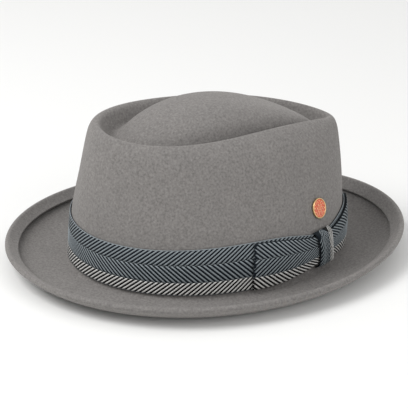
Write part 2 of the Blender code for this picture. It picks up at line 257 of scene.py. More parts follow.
def felt_material():
    """Close wool felt: a mottled melange grain over soft clouds, a low nap and a dry sheen."""
    material, shader, add, link = new_material("wool_felt", (0.22, 0.21, 0.20), 0.95)
    place = add("ShaderNodeTexCoord").outputs["Object"]
    grain = add("ShaderNodeTexNoise", Scale=620.0, Detail=4.0, Roughness=0.62)
    clouds = add("ShaderNodeTexNoise", Scale=38.0, Detail=2.0, Roughness=0.5)
    nap = add("ShaderNodeTexNoise", Scale=1500.0, Detail=3.0, Roughness=0.7, Distortion=1.4)
    for node in (grain, clouds, nap):
        link(place, node.inputs["Vector"])
    spread = add("ShaderNodeMapRange")
    spread.inputs["From Min"].default_value = 0.30
    spread.inputs["From Max"].default_value = 0.70
    link(grain.outputs["Fac"], spread.inputs["Value"])
    melange = shade_by(add, link, spread.outputs["Result"], (0.122, 0.116, 0.112), (0.222, 0.212, 0.205))
    tone = add("ShaderNodeMix", data_type="RGBA", blend_type="MULTIPLY")
    tone.inputs["Factor"].default_value = 1.0
    link(melange, tone.inputs["A"])
    cloud_tone = shade_by(add, link, clouds.outputs["Fac"], (0.93, 0.93, 0.93), (1.07, 1.06, 1.05))
    link(cloud_tone, tone.inputs["B"])
    link(tone.outputs["Result"], shader.inputs["Base Color"])
    rough = add("ShaderNodeMath", operation="ADD")
    link(grain.outputs["Fac"], rough.inputs[0])
    link(nap.outputs["Fac"], rough.inputs[1])
    bump = add("ShaderNodeBump", Strength=0.55, Distance=0.00022)
    link(rough.outputs[0], bump.inputs["Height"])
    link(bump.outputs["Normal"], shader.inputs["Normal"])
    shader.inputs["Sheen Weight"].default_value = 0.22
    shader.inputs["Sheen Roughness"].default_value = 0.55
    shader.inputs["Sheen Tint"].default_value = (0.80, 0.77, 0.74, 1.0)
    shader.inputs["Specular IOR Level"].default_value = 0.2
    return material


def make_felt():
    rings = felt_rings()
    x, y, z = np.moveaxis(rings, -1, 0)
    slow_waves = np.sin(43 * x + 1.7) * np.sin(37 * y + 0.4)
    quick_waves = 0.6 * np.sin(71 * y - 58 * z + 2.1) * np.cos(64 * x)
    waver = slow_waves + quick_waves
    across = np.roll(rings, -1, 1) - np.roll(rings, 1, 1)
    normal = np.cross(np.gradient(rings, axis=0), across)
    normal /= np.maximum(np.linalg.norm(normal, axis=-1, keepdims=True), 1e-12)
    crown_only = (np.arange(len(rings)) <= (LAST_ROW - 1) * FELT_STEPS)[:, None, None]
    rings = rings + normal * waver[..., None] * FELT_WAVER * crown_only
    faces, _, _ = grid_faces(len(rings), FELT_SIDES, closed=True)
    points = np.concatenate((rings.reshape(-1, 3), rings[0].mean(0)[None] + (0, 0, 0.0001)))
    ring = np.arange(FELT_SIDES)
    cap = np.stack((ring, (ring + 1) % FELT_SIDES, np.full(FELT_SIDES, len(points) - 1)), -1)
    mesh = solid_mesh("felt_hood", points, faces.tolist() + cap.tolist())
    hood = add_piece("felt_hood", mesh, felt_material(), ("felt_body",))
    give_wall(hood, FELT)


make_felt()


# Ribbon band. A herringbone ribbon 33 mm wide is drawn round the foot of the crown and tacked down under
# the bow. Its two upper stripes are blue-grey on navy and its lowest one is off-white on black.

TRIM_GAP = 0.0003
RIBBON = 0.0010
BAND_MARGIN = 0.02
LIFT_SHARE = 0.055
LIFT_TURN = math.radians(95)
LIFT_SPREAD = math.radians(30)
BOW_TURN = math.radians(127.7)
GATHER_REACH = 0.0300
LOOP_REACH = 0.0400
GATHER_BAND = 0.215
GATHER_LOOPS = 0.240
GATHER_BELOW = 0.14
RIB_PITCH = 0.00375                      # along the ribbon, from one light line to the next
RIB_LEAN = 1.20                          # distance along for each step across
RIB_WIDTH = 0.00165                      # measured along the ribbon
RIB_HEIGHT = 0.00020
RIB_ROUND = 0.85                         # how much of its height a rib loses at its sides
RIB_SINK = 0.00008                       # how far a rib reaches into the cloth
BAND_SINK = 0.0001                       # how far the cloth's face lies under the solid's
THREAD_SCALE = 520.0                     # of the wave that draws the cross threads
STRIPES = (0.0, 0.27, 0.65, 1.0)         # where the stripes end, as shares of the width from below
BLUE_GREY = (0.270, 0.305, 0.325)
OFF_WHITE = (0.72, 0.71, 0.68)
NAVY = (0.006, 0.010, 0.014)
NEAR_BLACK = (0.006, 0.006, 0.006)

fine_turns = np.linspace(0, 2 * math.pi, 2881)
fine_steps = np.linalg.norm(np.diff(foot_points(fine_turns)[0], axis=0), axis=1)
fine_lengths = np.concatenate(((0,), np.cumsum(fine_steps)))
GIRTH = fine_lengths[-1]
KNOT_PLACE = np.interp(BOW_TURN, fine_turns, fine_lengths)


def on_wall(distance, up, out):
    """Points beside the crown: distance round from the knot, share up the band, distance off the felt."""
    turn = np.interp((distance + KNOT_PLACE) % GIRTH, fine_lengths, fine_turns)
    turn, up, out = np.broadcast_arrays(turn, up, out)
    points = crown_points(turn, LAST_ROW - up)
    _, outward = foot_points(turn)
    points[..., :2] += outward * out[..., None]
    return points


def on_ribbon(distance, across, out, gather, reach):
    """Points on a ribbon that the knot draws in. Across runs from 0 below to 1 above."""
    turn = np.interp((distance + KNOT_PLACE) % GIRTH, fine_lengths, fine_turns)
    away = (turn - BOW_TURN) * CROWN_LENGTH / 2
    low = BAND_MARGIN + GATHER_BELOW * np.exp(-((away / GATHER_REACH) ** 2))
    lift = LIFT_SHARE * np.exp(-(((turn - LIFT_TURN) / LIFT_SPREAD) ** 2))
    high = 1 - BAND_MARGIN + lift - gather * np.exp(-((away / reach) ** 2))
    return on_wall(distance, low + (high - low) * across, out)


def ribbon_cloth_material(name, upper, lower, lowest_stripe):
    """The dark ground of the ribbon, with its fine cross threads."""
    material, shader, add, link = new_material(name, upper, 0.8)
    place = add("ShaderNodeUVMap", uv_map="ribbon").outputs["UV"]
    split = add("ShaderNodeSeparateXYZ")
    link(place, split.inputs[0])
    below = add("ShaderNodeMath", operation="LESS_THAN")
    link(split.outputs["Y"], below.inputs[0])
    below.inputs[1].default_value = lowest_stripe
    link(shade_by(add, link, below.outputs[0], upper, lower), shader.inputs["Base Color"])
    threads = add("ShaderNodeTexWave", wave_type="BANDS", bands_direction="Y", Scale=THREAD_SCALE,
                  Distortion=0.6)
    link(place, threads.inputs["Vector"])
    bump = add("ShaderNodeBump", Strength=0.5, Distance=0.00012)
    link(threads.outputs["Fac"], bump.inputs["Height"])
    link(bump.outputs["Normal"], shader.inputs["Normal"])
    shader.inputs["Sheen Weight"].default_value = 0.04
    shader.inputs["Specular IOR Level"].default_value = 0.12
    return material


def yarn_material(name, colour):
    """Raised yarn of the herringbone: short floats along each line, a little uneven in tone."""
    material, shader, add, link = new_material(name, colour, 0.7)
    place = add("ShaderNodeUVMap", uv_map="ribbon").outputs["UV"]
    floats = add("ShaderNodeTexWave", wave_type="BANDS", bands_direction="Y", Scale=THREAD_SCALE,
                 Distortion=0.4)
    tone = add("ShaderNodeTexNoise", Scale=420.0, Detail=2.0)
    link(place, floats.inputs["Vector"])
    link(place, tone.inputs["Vector"])
    both = add("ShaderNodeMath", operation="MULTIPLY")
    link(floats.outputs["Fac"], both.inputs[0])
    link(tone.outputs["Fac"], both.inputs[1])
    dark = tuple(0.62 * part for part in colour)
    light = tuple(min(1.0, 1.45 * part) for part in colour)
    link(shade_by(add, link, both.outputs[0], dark, light), shader.inputs["Base Color"])
    bump = add("ShaderNodeBump", Strength=0.6, Distance=0.0001)
    link(floats.outputs["Fac"], bump.inputs["Height"])
    link(bump.outputs["Normal"], shader.inputs["Normal"])
    shader.inputs["Sheen Weight"].default_value = 0.1
    shader.inputs["Specular IOR Level"].default_value = 0.25
    return material


ribbon_ground = ribbon_cloth_material("ribbon_ground", NAVY, NEAR_BLACK, STRIPES[1] * BAND_WIDTH)
blue_yarn = yarn_material("blue_grey_yarn", BLUE_GREY)
white_yarn = yarn_material("off_white_yarn", OFF_WHITE)


def herringbone_tree():
    """Geometry nodes for flat ribbon ribs: one leaning bar, repeated along each of three stripes."""
    tree = bpy.data.node_groups.new("Herringbone ribs", "GeometryNodeTree")
    for name, kind in (
        ("Length", "Float"), ("Start", "Float"), ("Width", "Float"), ("Pitch", "Float"),
        ("Lean", "Float"), ("Rib width", "Float"), ("Rib height", "Float"),
        ("First stripe", "Float"), ("Second stripe", "Float"),
        ("Lower yarn", "Material"), ("Upper yarn", "Material"),
    ):
        tree.interface.new_socket(name, in_out="INPUT", socket_type="NodeSocket" + kind)
    tree.interface.new_socket("Geometry", in_out="OUTPUT", socket_type="NodeSocketGeometry")
    given = tree.nodes.new("NodeGroupInput").outputs

    def math_node(operation, first, second):
        node = tree.nodes.new("ShaderNodeMath")
        node.operation = operation
        for socket, value in zip(node.inputs, (first, second)):
            if isinstance(value, (int, float)):
                socket.default_value = value
            else:
                tree.links.new(value, socket)
        return node.outputs[0]

    def vector_of(x, y, z):
        node = tree.nodes.new("ShaderNodeCombineXYZ")
        for socket, value in zip(node.inputs, (x, y, z)):
            if isinstance(value, (int, float)):
                socket.default_value = value
            else:
                tree.links.new(value, socket)
        return node.outputs[0]

    def linked(kind, **inputs):
        node = tree.nodes.new(kind)
        for name, value in inputs.items():
            socket = node.inputs[name.replace("_", " ")]
            if isinstance(value, bpy.types.NodeSocket):
                tree.links.new(value, socket)
            else:
                socket.default_value = value
        return node

    def stripe(low, high, sign, shift, yarn):
        tall = math_node("SUBTRACT", high, low)
        depth = math_node("MULTIPLY", given["Rib height"], 2)
        bar = linked("GeometryNodeMeshCube", Size=vector_of(given["Rib width"], tall, depth),
                     Vertices_X=5, Vertices_Y=7, Vertices_Z=2)
        place = tree.nodes.new("ShaderNodeSeparateXYZ")
        tree.links.new(tree.nodes.new("GeometryNodeInputPosition").outputs[0], place.inputs[0])
        lean = math_node("MULTIPLY", math_node("MULTIPLY", place.outputs["Y"], given["Lean"]), sign)
        middle = math_node("MULTIPLY", math_node("ADD", low, high), 0.5)
        share = math_node("DIVIDE", place.outputs["X"], math_node("MULTIPLY", given["Rib width"], 0.5))
        fallen = math_node("MULTIPLY", math_node("POWER", share, 2), RIB_ROUND)
        round_top = math_node("SUBTRACT", 1, fallen)
        crest = math_node("MULTIPLY", given["Rib height"], round_top)
        on_top = math_node("GREATER_THAN", place.outputs["Z"], 0)
        sunk = math_node("MULTIPLY", math_node("SUBTRACT", on_top, 1), RIB_SINK)
        height = math_node("ADD", math_node("MULTIPLY", crest, on_top), sunk)
        shaped = linked("GeometryNodeSetPosition", Geometry=bar.outputs["Mesh"],
                        Position=vector_of(math_node("ADD", place.outputs["X"], lean),
                                           math_node("ADD", place.outputs["Y"], middle), height))
        count = math_node("ROUND", math_node("DIVIDE", given["Length"], given["Pitch"]), 0)
        start = math_node("ADD", given["Start"], math_node("MULTIPLY", given["Pitch"], shift))
        row = linked("GeometryNodeMeshLine", Count=count, Start_Location=vector_of(start, 0, 0),
                     Offset=vector_of(given["Pitch"], 0, 0))
        bars = linked("GeometryNodeInstanceOnPoints", Points=row.outputs[0], Instance=shaped.outputs[0])
        whole = linked("GeometryNodeRealizeInstances", Geometry=bars.outputs[0])
        painted = linked("GeometryNodeSetMaterial", Geometry=whole.outputs[0], Material=yarn)
        return painted.outputs[0]

    first = math_node("MULTIPLY", given["Width"], given["First stripe"])
    second = math_node("MULTIPLY", given["Width"], given["Second stripe"])
    joined = tree.nodes.new("GeometryNodeJoinGeometry")
    lower_run = math_node("DIVIDE", math_node("MULTIPLY", first, given["Lean"]), given["Pitch"])
    middle_run = math_node("DIVIDE", math_node("MULTIPLY", math_node("SUBTRACT", second, first),
                                               given["Lean"]), given["Pitch"])
    upper_run = math_node("DIVIDE", math_node("MULTIPLY", math_node("SUBTRACT", given["Width"], second),
                                              given["Lean"]), given["Pitch"])

    def half(run, extra):
        return math_node("ADD", math_node("MULTIPLY", run, 0.5), extra)

    lower_shift = math_node("SUBTRACT", half(middle_run, 0.5), math_node("MULTIPLY", lower_run, 0.5))
    upper_shift = math_node("SUBTRACT", half(upper_run, 0.5), math_node("MULTIPLY", middle_run, 0.5))
    for part in (
        stripe(0.0, first, 1, lower_shift, given["Lower yarn"]),
        stripe(first, second, -1, 0.0, given["Upper yarn"]),
        stripe(second, given["Width"], 1, upper_shift, given["Upper yarn"]),
    ):
        tree.links.new(part, joined.inputs[0])
    store = linked("GeometryNodeStoreNamedAttribute", Geometry=joined.outputs[0], Name="ribbon")
    store.data_type = "FLOAT2"
    store.domain = "CORNER"
    where = tree.nodes.new("GeometryNodeInputPosition").outputs[0]
    tree.links.new(where, next(s for s in store.inputs if s.name == "Value" and s.enabled))
    out = tree.nodes.new("NodeGroupOutput")
    tree.links.new(store.outputs[0], out.inputs[0])
    return tree


herringbone = herringbone_tree()


def flat_ribs(name, **sizes):
    """The ribs as one plain mesh, still flat: X along the ribbon, Y across it and Z off its face."""
    maker = bpy.data.objects.new(name, bpy.data.meshes.new(name))
    bpy.context.scene.collection.objects.link(maker)
    modifier = maker.modifiers.new("Ribs", "NODES")
    modifier.node_group = herringbone
    for item in herringbone.interface.items_tree:
        key = item.name.replace(" ", "_")
        if item.in_out == "INPUT" and key in sizes:
            modifier[item.identifier] = sizes[key]
    graph = bpy.context.evaluated_depsgraph_get()
    mesh = bpy.data.meshes.new_from_object(maker.evaluated_get(graph), depsgraph=graph)
    bpy.data.objects.remove(maker)
    return mesh


def mesh_points(mesh):
    flat = np.empty(len(mesh.vertices) * 3, np.float32)
    mesh.vertices.foreach_get("co", flat)
    return flat.reshape(-1, 3).astype(float)


def bend_mesh(mesh, points):
    """Moves a flat mesh's points to their places on the hat."""
    mesh.vertices.foreach_set("co", points.astype(np.float32).ravel())
    mesh.update()
    mesh.shade_smooth()
    return mesh


def make_band():
    columns, rows = 480, 7
    distance = np.arange(columns) * GIRTH / columns
    across = np.linspace(1, 0, rows)
    face = TRIM_GAP + RIBBON - BAND_SINK
    points = on_ribbon(distance[None, :], across[:, None], face, GATHER_BAND, GATHER_REACH)
    faces, corner_rows, corner_columns = grid_faces(rows, columns, closed=True)
    uv = np.stack((corner_columns * GIRTH / columns, across[corner_rows] * BAND_WIDTH), -1)
    mesh = solid_mesh("band_ribbon", points, faces, uv)
    band = add_piece("band_ribbon", mesh, ribbon_ground, ("hat_band",))
    give_wall(band, RIBBON - BAND_SINK)

    count = round(GIRTH / RIB_PITCH)
    ribs = flat_ribs("band_ribs", Length=GIRTH, Start=0.0, Width=BAND_WIDTH, Pitch=GIRTH / count,
                     Lean=RIB_LEAN, Rib_width=RIB_WIDTH, Rib_height=RIB_HEIGHT, First_stripe=STRIPES[1],
                     Second_stripe=STRIPES[2], Lower_yarn=white_yarn, Upper_yarn=blue_yarn)
    x, y, z = mesh_points(ribs).T
    bend_mesh(ribs, on_ribbon(x, y / BAND_WIDTH, face + z, GATHER_BAND, GATHER_REACH))
    add_piece("band_ribs", ribs, blue_yarn)


make_band()


# Selvedge. The ribbon's two woven edges, each a fine cord of the same yarn that stands a little proud of
# the cloth. The upper one is light, the lower one dark.

SELVEDGE_RADIUS = 0.00030


def make_selvedge(name, across, material):
    columns, sides = 480, 8
    distance = np.arange(columns) * GIRTH / columns
    angle = np.linspace(0, 2 * math.pi, sides, endpoint=False)[:, None]
    middle = TRIM_GAP + RIBBON - SELVEDGE_RADIUS / 2
    out = middle + SELVEDGE_RADIUS * np.cos(angle)
    up = across + SELVEDGE_RADIUS * np.sin(angle) / BAND_WIDTH
    points = on_ribbon(distance[None, :], up, out, GATHER_BAND, GATHER_REACH)
    faces, corner_rows, corner_columns = grid_faces(sides + 1, columns, closed=True)
    faces = faces % (sides * columns)
    uv = np.stack((corner_columns * GIRTH / columns, corner_rows * SELVEDGE_RADIUS), -1)
    mesh = solid_mesh(name, points, faces[:, ::-1], uv[:, ::-1])
    add_piece(name, mesh, material)


make_selvedge("selvedge_upper", 1.0, yarn_material("selvedge_light", (0.25, 0.28, 0.30)))
make_selvedge("selvedge_lower", 0.0, yarn_material("selvedge_dark", (0.05, 0.055, 0.06)))


# Bow loops. A second length of the same ribbon, turned so that its chevrons run the other way, is folded
# flat into two loops over the band and gathered where the knot ties it down.

BOW_LENGTH = 0.0650
BOW_PUFF = 0.0012
LOOP_MIDDLE = 0.00262                    # from the felt to the middle of the two layers
LOOP_RADIUS = 0.00082                    # of the folded end, at the ribbon's outer face
LOOP_CLOTH = 0.00060
LOOP_BACK_END = 0.004                    # from the knot's middle to where the back layer ends
MIDDLE_NUDGE = 1e-6                      # keeps points off the exact middle, which has no side
FOLD_HEIGHT = 0.0007                     # how far the gathered folds stand up at the knot
FOLD_REACH = 0.010                       # how far along the loops those folds run
FOLD_COUNT = 3.25                        # across the ribbon
FOLD_PHASE = 0.8


def on_loop(along, across, height):
    """Points on a loop. Along is counted from the knot, on over the folded end and back underneath."""
    side, along = np.sign(along), np.abs(along)
    straight = BOW_LENGTH - LOOP_RADIUS
    past = np.maximum(0.0, along - straight)
    angle = np.minimum(past / LOOP_RADIUS, math.pi)
    back = np.maximum(0.0, past - math.pi * LOOP_RADIUS)
    radius = LOOP_RADIUS + height
    distance = np.minimum(along, straight) + radius * np.sin(angle) - back
    part = np.clip(distance / BOW_LENGTH, 0, 1)
    puff = BOW_PUFF * np.sin(math.pi * part) * (1 - (2 * across - 1) ** 2)
    ripple = 0.5 + 0.5 * np.cos(2 * math.pi * FOLD_COUNT * across + FOLD_PHASE)
    folds = FOLD_HEIGHT * np.exp(-distance / FOLD_REACH) * ripple
    on_top = np.clip(np.cos(angle), 0, 1)
    out = LOOP_MIDDLE + radius * np.cos(angle) + (puff + folds) * on_top
    return on_ribbon(side * distance, across, out, GATHER_LOOPS, LOOP_REACH)


def make_loops():
    rows = 25
    straight = BOW_LENGTH - LOOP_RADIUS
    half_turn = straight + np.linspace(0, math.pi * LOOP_RADIUS, 9)
    outer = np.linspace(0, straight, 70)
    inner = half_turn[-1] + np.linspace(0, straight - LOOP_BACK_END, 12)[1:]
    one_side = np.concatenate((outer, half_turn[1:], inner))
    along = np.concatenate((-one_side[:0:-1], one_side))
    along[len(one_side) - 1] = MIDDLE_NUDGE
    across = np.linspace(1, 0, rows)
    points = on_loop(along[None, :], across[:, None], 0.0)
    faces, corner_rows, corner_columns = grid_faces(rows, len(along), closed=False)
    uv = np.stack((along[corner_columns], across[corner_rows] * BAND_WIDTH), -1)
    mesh = solid_mesh("bow_ribbon", points, faces, uv)
    loops = add_piece("bow_ribbon", mesh, ribbon_ground, ("bow_loops",))
    give_wall(loops, LOOP_CLOTH)

    spare = 3 * RIB_PITCH
    ribs = flat_ribs("bow_ribs", Length=2 * (BOW_LENGTH + spare), Start=-BOW_LENGTH - spare,
                     Width=BAND_WIDTH, Pitch=RIB_PITCH, Lean=-RIB_LEAN, Rib_width=RIB_WIDTH,
                     Rib_height=RIB_HEIGHT, First_stripe=STRIPES[1], Second_stripe=STRIPES[2],
                     Lower_yarn=white_yarn, Upper_yarn=blue_yarn)
    x, y, z = mesh_points(ribs).T
    x = np.where(np.abs(x) < MIDDLE_NUDGE, MIDDLE_NUDGE, x)
    bend_mesh(ribs, on_loop(x, y / BAND_WIDTH, z))
    add_piece("bow_ribs", ribs, blue_yarn)


make_loops()


# Bow knot. A short piece of the ribbon is pleated lengthways, drawn tight over the middle of the bow and
# tucked in above and below. Its dark stripes fall on the left and its pale stripe on the right.

KNOT_WIDTH = 0.0190
KNOT_HEIGHT = 0.0272
KNOT_LEAN = 0.0046                       # how much further to the rear its lower end lies
KNOT_THICKNESS = 0.0016
KNOT_PUFF = 0.0022
KNOT_WAIST = 0.20                        # share of its width that it loses at the middle
KNOT_SLANT = 0.0010                      # how much lower its rear edge lies than its front edge
PLEATS = (-1.0, -0.42, 0.18, 1.0)        # where one pleat ends and the next begins
PLEAT_RISE = (0.0013, 0.0007, 0.0013)
PLEAT_BASE = 0.0007                      # how far the pleats start below the knot's own face
KNOT_EDGE_DROP = 0.0016                  # how far the knot's front and rear edges drop
LOOPS_THICKNESS = 0.0018
KNOT_CLOTH = (0.0240, 0.0380)            # flat width and length
KNOT_WALL = 0.0008
KNOT_STRIPES = (0.36, 0.62)              # where its two lower stripes end, as shares of the width
KNOT_RIB_PITCH = 0.0034
KNOT_RIB_LEAN = 1.5
KNOT_RIB_WIDTH = 0.0016
KNOT_RIB_MARGIN = 0.002                  # from the cloth's ends to the first and last rib
KNOT_RIB_SHARE = 0.96                    # of the cloth's width that ribs cover
KNOT_SECTION = np.array((
    (1.00, 0.00), (0.84, 0.74), (0.45, 0.93), (0.00, 1.00), (-0.45, 0.93), (-0.84, 0.74), (-1.00, 0.00),
))


def on_knot(along, across, height):
    """Points on the knot. Along runs from 0 above to 1 below, across from -1 in front to 1 behind."""
    place = np.clip(along, 0, 1) * (len(KNOT_SECTION) - 1)
    slopes = np.gradient(KNOT_SECTION, axis=0)
    row = np.clip(place.astype(int), 0, len(KNOT_SECTION) - 2)
    part = (place - row)[..., None]
    here, there = KNOT_SECTION[row], KNOT_SECTION[row + 1]
    value = here * (1 - part) ** 2 * (1 + 2 * part) + there * part ** 2 * (3 - 2 * part)
    value = value + slopes[row] * part * (1 - part) ** 2 - slopes[row + 1] * part ** 2 * (1 - part)
    up_share, off_share = value[..., 0], value[..., 1]
    on_felt = TRIM_GAP + KNOT_THICKNESS
    crest = 3 * TRIM_GAP + RIBBON + LOOPS_THICKNESS + KNOT_THICKNESS + KNOT_PUFF
    waist = 1 - KNOT_WAIST * (1 - up_share ** 2)
    edge = np.sqrt(np.maximum(0.0, 1 - np.abs(across) ** 4))
    pleats = np.zeros(np.broadcast(along, across).shape)
    for start, end, rise in zip(PLEATS, PLEATS[1:], PLEAT_RISE):
        inside = np.clip((across - start) / (end - start), 0, 1)
        pleats = pleats + rise * np.sqrt(np.sin(math.pi * inside).clip(0))
    off = on_felt + (crest - on_felt) * off_share
    off = off - (1 - edge) * KNOT_EDGE_DROP * off_share
    off = off + (pleats - PLEAT_BASE) * np.clip(off_share, 0, 1) + height
    drawn_low = BAND_MARGIN + GATHER_BELOW
    drawn_high = 1 - BAND_MARGIN - GATHER_LOOPS
    drawn_high += LIFT_SHARE * math.exp(-(((BOW_TURN - LIFT_TURN) / LIFT_SPREAD) ** 2))
    up = (drawn_low + drawn_high) / 2 + up_share * KNOT_HEIGHT / BAND_WIDTH / 2
    up = up - KNOT_SLANT / BAND_WIDTH * (across + 1) / 2 * (1 - np.abs(up_share) ** 3)
    return on_wall(across * KNOT_WIDTH / 2 * waist - up_share * KNOT_LEAN / 2, up, off)


def make_knot():
    rows, columns = 49, 61
    along = np.linspace(0, 1, rows)[:, None]
    across = np.linspace(-1, 1, columns)[None, :]
    points = on_knot(along, across, 0.0)
    faces, corner_rows, corner_columns = grid_faces(rows, columns, closed=False)
    width, length = KNOT_CLOTH
    uv = np.stack((corner_rows / (rows - 1) * length, (1 - corner_columns / (columns - 1)) * width), -1)
    mesh = solid_mesh("knot_ribbon", points, faces, uv)
    ground = ribbon_cloth_material("knot_ground", NAVY, NEAR_BLACK, KNOT_STRIPES[0] * width)
    knot = add_piece("knot_ribbon", mesh, ground, ("bow_knot",))
    give_wall(knot, KNOT_WALL)

    ribs = flat_ribs("knot_ribs", Length=length - 2 * KNOT_RIB_MARGIN, Start=KNOT_RIB_MARGIN,
                     Width=width * KNOT_RIB_SHARE, Pitch=KNOT_RIB_PITCH, Lean=KNOT_RIB_LEAN,
                     Rib_width=KNOT_RIB_WIDTH, Rib_height=RIB_HEIGHT, First_stripe=KNOT_STRIPES[0],
                     Second_stripe=KNOT_STRIPES[1], Lower_yarn=white_yarn, Upper_yarn=blue_yarn)
    x, y, z = mesh_points(ribs).T
    bend_mesh(ribs, on_knot(x / length, KNOT_RIB_SHARE - 2 * y / width, z))
    add_piece("knot_ribs", ribs, blue_yarn)


make_knot()


# Pin. A round badge of polished brass with a raised rim and a red enamel face, crossed by fine copper
# lines. A post is soldered to its back, goes through the felt and is held by a clutch inside the crown.

PIN_TURN = math.radians(126.2)
PIN_RISE = 0.0122
PIN_DIAMETER = 0.0148
PIN_THICKNESS = 0.0014
PIN_RIM = 0.0008
POST_RADIUS = 0.0006
POST_LENGTH = 0.0080
CLUTCH_RADIUS = 0.0045
CLUTCH_THICKNESS = 0.0030
CLUTCH_GAP = 0.0010
SOLDER_SPREAD = 1.6                      # how much wider than the post its soldered root is
SOLDER_HEIGHT = 0.0003
POINT_LENGTH = 0.0006
RECESS_DEPTH = 0.0010
ENAMEL_GAP = 0.00005
ENAMEL_DROP = 0.0003                     # of the enamel's edge, below the rim
ENAMEL_DOME = 0.00018
PETALS = 6
PETAL_RINGS = (                          # middle, half length, half width, and how many for each petal
    (0.30, 0.1875, 0.13, 1.0),
    (0.66, 0.2250, 0.17, 1.0),
    (0.90, 0.0625, 0.10, 2.0),
)
WIRE_RADIUS = 0.00017
WIRE_LIFT = 0.00003
WIRE_SHARE = 0.94                        # of the enamel's radius that the wires cover


def pin_stand():
    """The matrix that stands a piece's Z axis out of the crown's wall, where the pin is."""
    places = np.linspace(LAST_ROW, LAST_ROW - 3, 3001)
    heights = crown_points(PIN_TURN, places)[:, 2]
    place = np.interp(FOOT_HEIGHT + BAND_WIDTH + PIN_RISE, heights, places)
    centre = crown_points(PIN_TURN, place)
    up = crown_points(PIN_TURN, place - 0.05) - crown_points(PIN_TURN, place + 0.05)
    along = crown_points(PIN_TURN + 0.01, place) - crown_points(PIN_TURN - 0.01, place)
    outward = np.cross(along, up)
    outward /= np.linalg.norm(outward)
    up /= np.linalg.norm(up)
    stand = Matrix((np.cross(up, outward), up, outward)).transposed().to_4x4()
    stand.translation = centre
    return stand


PIN_STAND = pin_stand()


def turned_mesh(name, profile, sides=96):
    """A body turned from (radius, height) pairs, which end on the axis or come back to the first."""
    profile = np.array(profile)
    closed = bool(np.allclose(profile[0], profile[-1]))
    ring = profile[:-1] if closed else profile[1:-1]
    angle = np.linspace(0, 2 * math.pi, sides, endpoint=False)
    points = np.stack((
        ring[:, :1] * np.cos(angle), ring[:, :1] * np.sin(angle), np.repeat(ring[:, 1:], sides, 1),
    ), -1)
    faces = grid_faces(len(ring) + int(closed), sides, closed=True)[0] % (len(ring) * sides)
    faces = faces[:, ::-1].tolist()
    points = points.reshape(-1, 3)
    if not closed:
        first, last = len(points), len(points) + 1
        points = np.concatenate((points, [(0, 0, profile[0][1]), (0, 0, profile[-1][1])]))
        end = (len(ring) - 1) * sides
        for side in range(sides):
            after = (side + 1) % sides
            faces.append([first, after, side])
            faces.append([last, end + side, end + after])
    mesh = solid_mesh(name, points, faces)
    mesh.transform(PIN_STAND)
    mesh.set_sharp_from_angle(angle=math.radians(50))
    return mesh


def rounded(corner, before, after, radius, steps=4):
    """Points of a rounded corner of a profile."""
    corner, before, after = (np.array(point, float) for point in (corner, before, after))
    start = corner + (before - corner) / np.linalg.norm(before - corner) * radius
    end = corner + (after - corner) / np.linalg.norm(after - corner) * radius
    parts = np.linspace(0, 1, steps + 1)[:, None]
    curve = (1 - parts) ** 2 * start + 2 * parts * (1 - parts) * corner + parts ** 2 * end
    return [tuple(point) for point in curve]


def metal_material(name, colour, roughness):
    """Metal with a faint uneven polish."""
    material, shader, add, link = new_material(name, colour, roughness, 1.0)
    place = add("ShaderNodeTexCoord").outputs["Object"]
    worn = add("ShaderNodeTexNoise", Scale=900.0, Detail=3.0)
    link(place, worn.inputs["Vector"])
    spread = add("ShaderNodeMapRange")
    spread.inputs["To Min"].default_value = roughness * 0.7
    spread.inputs["To Max"].default_value = roughness * 1.5
    link(worn.outputs["Fac"], spread.inputs["Value"])
    link(spread.outputs["Result"], shader.inputs["Roughness"])
    bump = add("ShaderNodeBump", Strength=0.25, Distance=0.00004)
    link(worn.outputs["Fac"], bump.inputs["Height"])
    link(bump.outputs["Normal"], shader.inputs["Normal"])
    return material


def enamel_material():
    """Fired enamel, orange-red and a little mottled, under a clear gloss."""
    material, shader, add, link = new_material("red_enamel", (0.62, 0.10, 0.035), 0.25)
    place = add("ShaderNodeTexCoord").outputs["Object"]
    mottle = add("ShaderNodeTexNoise", Scale=520.0, Detail=3.0, Distortion=0.8)
    link(place, mottle.inputs["Vector"])
    link(shade_by(add, link, mottle.outputs["Fac"], (0.40, 0.030, 0.008), (0.78, 0.13, 0.040)),
         shader.inputs["Base Color"])
    shader.inputs["Coat Weight"].default_value = 0.6
    shader.inputs["Coat Roughness"].default_value = 0.08
    return material


